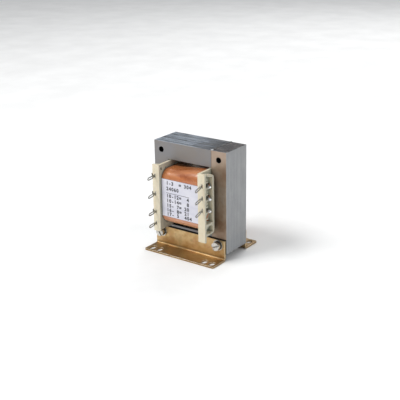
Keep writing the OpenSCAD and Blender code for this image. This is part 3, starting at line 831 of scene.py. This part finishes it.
def stampTags():
    # forwards is -Y, upwards is Z and the thickness lies along X
    turn = Matrix(((0, 0, 1, 0), (-1, 0, 0, 0), (0, 1, 0, 0), (0, 0, 0, 1)))
    for name in named("left_tag", "right_tag"):
        side, _, number = name.split("_")
        curve = bpy.data.curves.new("tag", "CURVE")
        curve.dimensions = "2D"
        curve.fill_mode = "BOTH"
        curve.extrude = tags["thick"] / 2 * mm
        place = int(number) - 1
        for outline in tagOutlines(tags["droop"][side][place], tags["prong"][side][place]):
            spline = curve.splines.new("POLY")
            spline.points.add(len(outline) - 1)
            for point, (u, v) in zip(spline.points, outline):
                point.co = (u * mm, v * mm, 0, 1)
            spline.use_cyclic_u = True
        mesh = plainMesh(bpy.data.objects.new("tag", curve))
        mesh.transform(Matrix.Translation(tagPlace(name)) @ turn)
        shape = bmesh.new()
        shape.from_mesh(mesh)
        bmesh.ops.remove_doubles(shape, verts=shape.verts, dist=1e-6)
        bmesh.ops.recalc_face_normals(shape, faces=shape.faces)
        writeShape(shape, mesh)
        keepPiece(pieceName(name, "Tag"), mesh, tagMetal, "tag_metal", name)


stampTags()
print("solder tags")


# the end of each lead, wound round the tail of its tag before it is soldered
wrap = {"Turns": 2.6, "Advance": 1.6 * mm, "Coil Radius": 1.2 * mm, "Wire Radius": 0.27 * mm, "Flatten": 0.5,
        "Tilt": math.radians(-130)}
joint = {"back": 8.4, "down": 2.9, "half": (2.3, 2.1, 1.6), "wrapBack": 5.0, "wrapDown": 0.7}


def wrapTree():
    tree, given = startGrowth("wireWraps", wrap)
    path = add(tree, "GeometryNodeCurveSpiral", {"Resolution": 24, "Rotations": given["Turns"],
                                                 "Start Radius": given["Coil Radius"],
                                                 "End Radius": given["Coil Radius"],
                                                 "Height": given["Advance"]})
    squash = add(tree, "ShaderNodeCombineXYZ", {"X": given["Flatten"], "Y": 1.0, "Z": 1.0})
    path = add(tree, "GeometryNodeTransform", {"Geometry": path, "Scale": squash})
    section = add(tree, "GeometryNodeCurvePrimitiveCircle", {"Resolution": 8, "Radius": given["Wire Radius"]})
    wire = add(tree, "GeometryNodeCurveToMesh", {"Curve": path, "Profile Curve": section, "Fill Caps": True})
    turn = add(tree, "ShaderNodeCombineXYZ", {"X": given["Tilt"]})
    grown = add(tree, "GeometryNodeInstanceOnPoints", {"Points": given["Geometry"], "Instance": wire,
                                                       "Rotation": turn})
    endGrowth(tree, grown, given["Metal"])
    return tree


def windLeads():
    ends = [tagPlace(name) + Vector((0, joint["wrapBack"], -joint["wrapDown"])) * mm
            for name in named("left_tag", "right_tag")]
    mesh = grow(wrapTree(), {**wrap, "Metal": shadedWrapCopper}, ends)
    keepPiece("leadWraps", mesh, shadedWrapCopper, "lead_wire")


windLeads()
print("lead wraps")


# the leads themselves: out of the coil through a slit, across the channel and up to the joint
lead = {"Lead Radius": 0.3 * mm, "Soft Radius": 0.8 * mm, "slitBack": 9.05, "start": 4.3, "floor": 1.4}


def leadTree():
    tree, given = startGrowth("leadWires", lead)
    path = add(tree, "GeometryNodeMeshToCurve", {"Mesh": given["Geometry"]})
    path = add(tree, "GeometryNodeFilletCurve", {"Curve": path, "Radius": given["Soft Radius"], "Count": 5,
                                                 "Limit Radius": True}, mode="POLY")
    section = add(tree, "GeometryNodeCurvePrimitiveCircle", {"Resolution": 10,
                                                             "Radius": given["Lead Radius"]})
    wire = add(tree, "GeometryNodeCurveToMesh", {"Curve": path, "Profile Curve": section, "Fill Caps": True})
    endGrowth(tree, wire, given["Metal"])
    return tree


def runLeads():
    tree = leadTree()
    for name in named("left_lead", "right_lead"):
        root = tagPlace(name.replace("lead", "tag"))
        side = 1 if root.x > 0 else -1
        steps = [(-lead["start"], lead["slitBack"], 0), (-lead["floor"], lead["slitBack"], 0),
                 (0.4, lead["slitBack"] + 0.3, -0.9), (0.3, joint["back"] + 0.3, -joint["down"] + 0.9)]
        if name == "right_lead_3":  # this one comes from lower down, with some slack
            steps = [(-lead["start"], lead["slitBack"], -10), (-lead["floor"], lead["slitBack"], -10),
                     (0.6, 7.4, -10.4), (0.7, 4.4, -9.6), (0.7, 4.2, -7.4), (0.5, 6.8, -5.4),
                     (0.3, joint["back"], -joint["down"] - 0.8)]
        seeds = [root + Vector((side * x, y, z)) * mm for x, y, z in steps]
        mesh = grow(tree, {**lead, "Metal": leadCopper}, seeds, [(k, k + 1) for k in range(len(seeds) - 1)])
        keepPiece(pieceName(name, "LeadWire"), mesh, leadCopper, "lead_wire", name)


runLeads()
print("lead wires")


# solder joints: a drop on the end of the tail, drawn out along the wire
drop = {"subdivisions": 3, "lumps": 0.22, "lumpSize": 1.3, "apart": 400, "sag": 0.1}


def pourSolder():
    for name in named("left_solder", "right_solder"):
        root = tagPlace(name.replace("solder", "tag"))
        side = 1 if root.x > 0 else -1
        middle = root + Vector((side * 0.5, joint["back"], -joint["down"])) * mm
        half = Vector(joint["half"]) * mm
        shape = bmesh.new()
        bmesh.ops.create_icosphere(shape, subdivisions=drop["subdivisions"], radius=1)
        for vert in shape.verts:
            out = vert.co.normalized()
            lump = noise.noise(out * drop["lumpSize"] + middle * drop["apart"])
            size = 1 - drop["lumps"] * (0.5 + lump) - drop["sag"] * max(0, out.z)
            vert.co = middle + Vector((out.x * half.x, out.y * half.y, out.z * half.z)) * size
        mesh = bpy.data.meshes.new("solder")
        writeShape(shape, mesh, True)
        keepPiece(pieceName(name, "SolderJoint"), mesh, solderMetal, "solder", name)


pourSolder()
print("solder joints")


# the outer tape: a closed band whose turns lie unevenly, higher where the leads come out
wrapping = {"stations": 44, "around": 176, "corner": 8.0, "thick": 0.5, "rise": 3.0, "riseFrom": -12.0,
            "riseTo": 14.0, "dent": 0.3, "dentSize": 7.0, "dentStretch": 0.35, "lap": 0.15,
            "lapAt": 0.62, "liftFrom": 0.35, "liftOver": 0.6}


def smooth(value):
    value = min(max(value, 0), 1)
    return value * value * (3 - 2 * value)


def bandPoint(share, halfY, halfZ, radius):
    # a point and its outward direction on a rounded rectangle, by its share of the way round
    flatY, flatZ, arc = 2 * (halfY - radius), 2 * (halfZ - radius), math.pi / 2 * radius
    way = share * 2 * (flatY + flatZ + 2 * arc)
    for quarter in range(4):
        length = flatZ if quarter % 2 == 0 else flatY
        angle = math.pi * quarter / 2
        outward = Vector((-math.cos(angle), math.sin(angle)))
        along = Vector((math.sin(angle), math.cos(angle)))
        reach = halfY if quarter % 2 == 0 else halfZ
        if way <= length:
            return outward * reach + along * (way - length / 2), outward
        way -= length
        if way <= arc:
            turned = angle + way / radius
            outward2 = Vector((-math.cos(turned), math.sin(turned)))
            return outward * (reach - radius) + along * (length / 2) + outward2 * radius, outward2
        way -= arc
    return bandPoint(0, halfY, halfZ, radius)


def wrapTape():
    low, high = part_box("outer_tape")
    middle, half = (low + high) / 2, (high - low) / 2
    radius, thick = wrapping["corner"] * mm, wrapping["thick"] * mm
    count, steps = wrapping["around"], wrapping["stations"]
    mesh = bpy.data.meshes.new("tape")
    shape = bmesh.new()
    rings = {"outer": [], "inner": []}
    for i in range(steps + 1):
        x = low.x + (high.x - low.x) * i / steps
        rise = wrapping["rise"] * mm * smooth((x / mm - wrapping["riseFrom"])
                                              / (wrapping["riseTo"] - wrapping["riseFrom"]))
        for kind in rings:
            ring = []
            for k in range(count):
                share = k / count
                spot, outward = bandPoint(share, half.y, half.z, radius)
                lifted = rise * smooth((spot.y / half.z - wrapping["liftFrom"]) / wrapping["liftOver"])
                if kind == "outer":
                    around = Vector((x * wrapping["dentStretch"], spot.x, spot.y))
                    dip = noise.noise(around / (wrapping["dentSize"] * mm))
                    lap = (share - wrapping["lapAt"]) % 1 * wrapping["lap"] * mm
                    spot = spot - outward * (wrapping["dent"] * mm * max(0, dip) + lap)
                else:
                    spot = spot - outward * thick
                ring.append(shape.verts.new((x, middle.y + spot.x, middle.z + spot.y + lifted)))
            rings[kind].append(ring)
    for i in range(steps):
        for k in range(count):
            j = (k + 1) % count
            a, b = rings["outer"][i], rings["outer"][i + 1]
            shape.faces.new((a[k], b[k], b[j], a[j]))
            a, b = rings["inner"][i], rings["inner"][i + 1]
            shape.faces.new((a[k], a[j], b[j], b[k]))
    for i in (0, steps):
        for k in range(count):
            j = (k + 1) % count
            a, b = rings["outer"][i], rings["inner"][i]
            shape.faces.new((a[k], a[j], b[j], b[k]))
    bmesh.ops.recalc_face_normals(shape, faces=shape.faces)
    writeShape(shape, mesh, True)
    keepPiece("wrappedTape", mesh, tapeFilm, "tape", "outer_tape")


wrapTape()
print("wrapped tape")


# plain numbers on the label, in evenly spaced figures, with a rule under the first two rows;
# each row holds its height over the label's middle and its figures
marks = {"left": -14.0, "pitch": 2.5, "tall": 2.9, "inkDepth": 0.02, "bold": 0.16,
         "rule": (-14.0, 8.5, 4.4, 0.32),
         "rows": [(12.9, "1-3  = 304"), (8.2, "24060"), (2.2, "10-12=  4"), (-1.9, "10-14=  8"),
                  (-5.9, "15- 7= 20"), (-9.7, "16- 8= 21"), (-13.3, "17- 5  404")]}


def inkFigure(figure, x, z, front):
    curve = bpy.data.curves.new("ink", "FONT")
    curve.body = figure
    curve.size = marks["tall"] / 0.72 * mm  # figures stand 0.72 of the type's size
    curve.align_x = "CENTER"
    curve.offset = marks["bold"] * mm
    curve.extrude = marks["inkDepth"] / 2 * mm
    curve.resolution_u = 3
    mesh = plainMesh(bpy.data.objects.new("ink", curve))
    mesh.transform(Matrix.Translation((x * mm, front, z)) @ Matrix.Rotation(math.pi / 2, 4, "X"))
    return mesh


def printLabel():
    low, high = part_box("coil_label")
    middle = (low.z + high.z) / 2
    front = low.y - marks["inkDepth"] / 2 * mm
    sheet = bmesh.new()
    for height, figures in marks["rows"]:
        base = middle + (height - marks["tall"] / 2) * mm
        for k, figure in enumerate(figures):
            if figure != " ":
                sheet.from_mesh(inkFigure(figure, marks["left"] + (k + 0.5) * marks["pitch"], base, front))
    start, end, height, thick = marks["rule"]
    rule = Matrix.Translation(((start + end) / 2 * mm, front, middle + height * mm))
    rule = rule @ Matrix.Diagonal(((end - start) * mm, marks["inkDepth"] * mm, thick * mm, 1))
    bmesh.ops.create_cube(sheet, size=1, matrix=rule)
    bmesh.ops.remove_doubles(sheet, verts=sheet.verts, dist=1e-6)
    mesh = bpy.data.meshes.new("labelPrint")
    writeShape(sheet, mesh)
    keepPiece("labelPrint", mesh, printInk(), "label")


printLabel()
print("label print")
